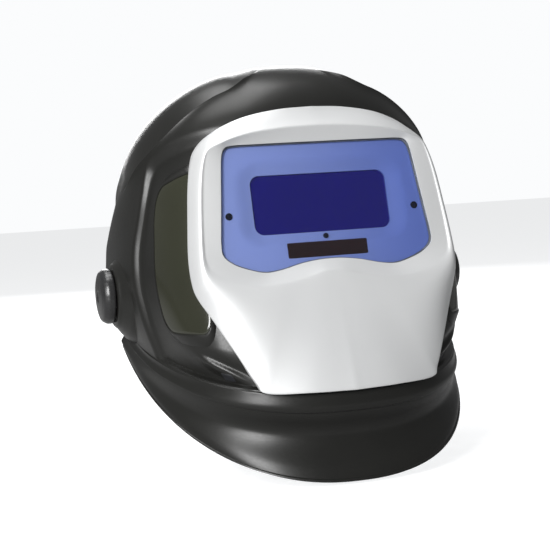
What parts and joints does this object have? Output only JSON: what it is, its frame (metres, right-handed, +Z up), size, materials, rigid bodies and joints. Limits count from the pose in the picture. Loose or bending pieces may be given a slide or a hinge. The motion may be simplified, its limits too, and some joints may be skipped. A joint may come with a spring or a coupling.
{
  "type": "welding helmet",
  "caption": "Tilting welding helmet with slide-off front cover, darkening filter cartridge, side windows, chin skirt and ratchet headgear inside.",
  "frame": {"origin": "midway between the two pivot knobs, on the tilt axis (about the middle of the wearer's head)", "axes": "+Z up, -Y is the front the wearer looks through, +X towards the wearer's left"},
  "size_m": [0.274, 0.2935, 0.2774],
  "materials": {
    "shell_black": "satin moulded nylon",
    "cover_silver": "silver lacquered nylon",
    "cover_inside": "moulded nylon",
    "clear_plate": "clear polycarbonate",
    "bezel_blue": "metallic blue face",
    "filter_dark": "dark indigo filter",
    "side_window_dark": "dark tinted polycarbonate",
    "solar_dark": "dark red-brown cell under clear cover",
    "sensor_dark": "dark lens",
    "board_green": "lacquered circuit board",
    "cell_steel": "coin cell",
    "steel": "zinc plated steel",
    "black_plastic": "moulded nylon",
    "grey_button": "moulded rubber key",
    "strap_nylon": "flexible moulded strap",
    "pad_fabric": "padded knit over foam",
    "friction_fibre": "fibre washer"
  },
  "bodies": {
    "headgear": {"front_band": "strap_nylon", "sweatband": "pad_fabric", "crown_strap_front": "strap_nylon", "crown_strap_rear": "strap_nylon", "crown_pad": "pad_fabric", "strap_rivets": "steel", "pivot_bracket_left": "black_plastic", "pivot_bracket_right": "black_plastic", "pivot_axle_left": "steel", "pivot_axle_right": "steel", "friction_washer_left": "friction_fibre", "friction_washer_right": "friction_fibre", "spring_washer_left": "steel", "spring_washer_right": "steel", "band_guide_left": "black_plastic", "band_guide_right": "black_plastic"},
    "helmet": {"shell": "shell_black", "filter_bezel": "bezel_blue", "filter_housing": "black_plastic", "filter_glass": "filter_dark", "circuit_board": "board_green", "solar_cell": "solar_dark", "arc_sensor_left": "sensor_dark", "arc_sensor_right": "sensor_dark", "arc_sensor_centre": "sensor_dark", "battery_tray_left": "black_plastic", "battery_tray_right": "black_plastic", "coin_cell_left": "cell_steel", "coin_cell_right": "cell_steel", "inner_plate": "clear_plate", "inner_plate_frame": "black_plastic", "control_panel": "black_plastic", "cartridge_clamp": "steel", "side_window_left": "side_window_dark", "side_window_right": "side_window_dark", "vent_insert_left": "black_plastic", "vent_insert_right": "black_plastic", "stop_washer_left": "black_plastic", "stop_washer_right": "black_plastic"},
    "front_cover": {"front_cover": "cover_silver", "outer_plate": "clear_plate", "plate_retainer": "cover_inside"},
    "nape_cradle": {"nape_band": "strap_nylon", "nape_pad": "pad_fabric", "ratchet_housing": "black_plastic", "ratchet_cover": "black_plastic", "nape_rack": "strap_nylon", "ratchet_pawl": "steel", "housing_screws": "steel"},
    "ratchet": {"ratchet_knob": "black_plastic", "ratchet_pinion": "steel"},
    "knob_left": {"tension_knob_left": "black_plastic"},
    "knob_right": {"tension_knob_right": "black_plastic"},
    "button_on": {"button_on": "grey_button"},
    "button_shade": {"button_shade": "grey_button"},
    "button_sens": {"button_sens": "grey_button"},
    "button_delay": {"button_delay": "grey_button"},
    "button_grind": {"button_grind": "grey_button"}
  },
  "joints": [
    {"name": "helmet_tilt", "type": "hinge", "parent": "headgear", "child": "helmet", "pos_m": [0, 0, 0], "axis": [-1, 0, 0], "range_deg": [-25, 37]},
    {"name": "cover_slide", "type": "slide", "parent": "helmet", "child": "front_cover", "axis": [0, -0.9781, 0.2079], "range_m": [0, 0.05]},
    {"name": "knob_left_spin", "type": "hinge", "parent": "headgear", "child": "knob_left", "pos_m": [0.13, 0, 0], "axis": [1, 0, 0], "range_deg": [-180, 180]},
    {"name": "knob_right_spin", "type": "hinge", "parent": "headgear", "child": "knob_right", "pos_m": [-0.13, 0, 0], "axis": [-1, 0, 0], "range_deg": [-180, 180]},
    {"name": "nape_slide", "type": "slide", "parent": "headgear", "child": "nape_cradle", "axis": [0, 0.9063, -0.4226], "range_m": [-0.0082, 0.01]},
    {"name": "ratchet_spin", "type": "hinge", "parent": "nape_cradle", "child": "ratchet", "pos_m": [0, 0.12785, -0.02829], "axis": [0, 0.9063, -0.4226], "range_deg": [-110, 90]},
    {"name": "button_on_press", "type": "slide", "parent": "helmet", "child": "button_on", "axis": [0, -0.9781, 0.2079], "range_m": [0, 0.0006], "stiffness_N_per_m": 700},
    {"name": "button_shade_press", "type": "slide", "parent": "helmet", "child": "button_shade", "axis": [0, -0.9781, 0.2079], "range_m": [0, 0.0006], "stiffness_N_per_m": 700},
    {"name": "button_sens_press", "type": "slide", "parent": "helmet", "child": "button_sens", "axis": [0, -0.9781, 0.2079], "range_m": [0, 0.0006], "stiffness_N_per_m": 700},
    {"name": "button_delay_press", "type": "slide", "parent": "helmet", "child": "button_delay", "axis": [0, -0.9781, 0.2079], "range_m": [0, 0.0006], "stiffness_N_per_m": 700},
    {"name": "button_grind_press", "type": "slide", "parent": "helmet", "child": "button_grind", "axis": [0, -0.9781, 0.2079], "range_m": [0, 0.0006], "stiffness_N_per_m": 700}
  ],
  "couplings": [
    {"joint": "nape_slide", "follows": "ratchet_spin", "m_per_rad": -0.005}
  ]
}
